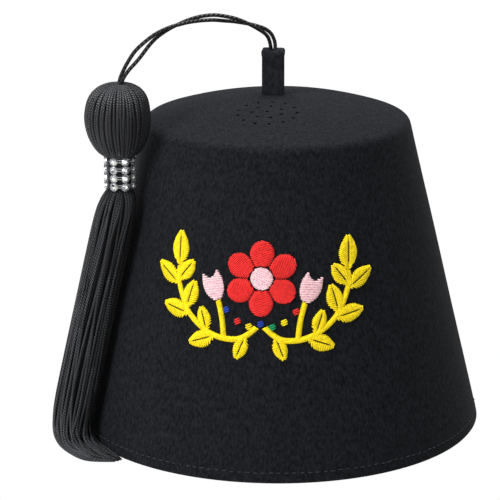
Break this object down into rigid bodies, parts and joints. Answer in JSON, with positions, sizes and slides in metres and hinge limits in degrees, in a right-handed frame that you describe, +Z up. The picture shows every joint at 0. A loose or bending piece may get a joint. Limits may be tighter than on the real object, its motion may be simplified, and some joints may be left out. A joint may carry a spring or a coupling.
{
  "type": "fez hat",
  "caption": "Stiff black felt fez, an open tapering crown with a stalk, an arched doubled cord, a hanging tassel with a stone collar and a raised embroidered floral spray.",
  "frame": {"origin": "middle of the rim's plane, where the head goes in", "axes": "+Z up through the crown, -Y towards the embroidered front, +X to the right of someone who looks at the front"},
  "size_m": [0.1884, 0.185, 0.1873],
  "materials": {
    "felt": "matte black stiffened felt",
    "cord": "black twisted thread with a soft sheen",
    "stones": "bright silver cups with clear faceted stones",
    "yellow_thread": "satin stitch",
    "red_thread": "satin stitch",
    "pink_thread": "satin stitch"
  },
  "bodies": {
    "root": {"crown": "felt", "stalk_tab": "felt", "cord_strand_1": "cord", "cord_strand_2": "cord", "tassel_head": "cord", "rhinestone_collar": "stones", "tassel_skirt": "cord", "embroidered_branch_right": "yellow_thread", "embroidered_branch_left": "yellow_thread", "embroidered_bud_right": "pink_thread", "embroidered_bud_left": "pink_thread", "embroidered_petals": "red_thread", "embroidered_heart": "pink_thread"}
  },
  "joints": []
}
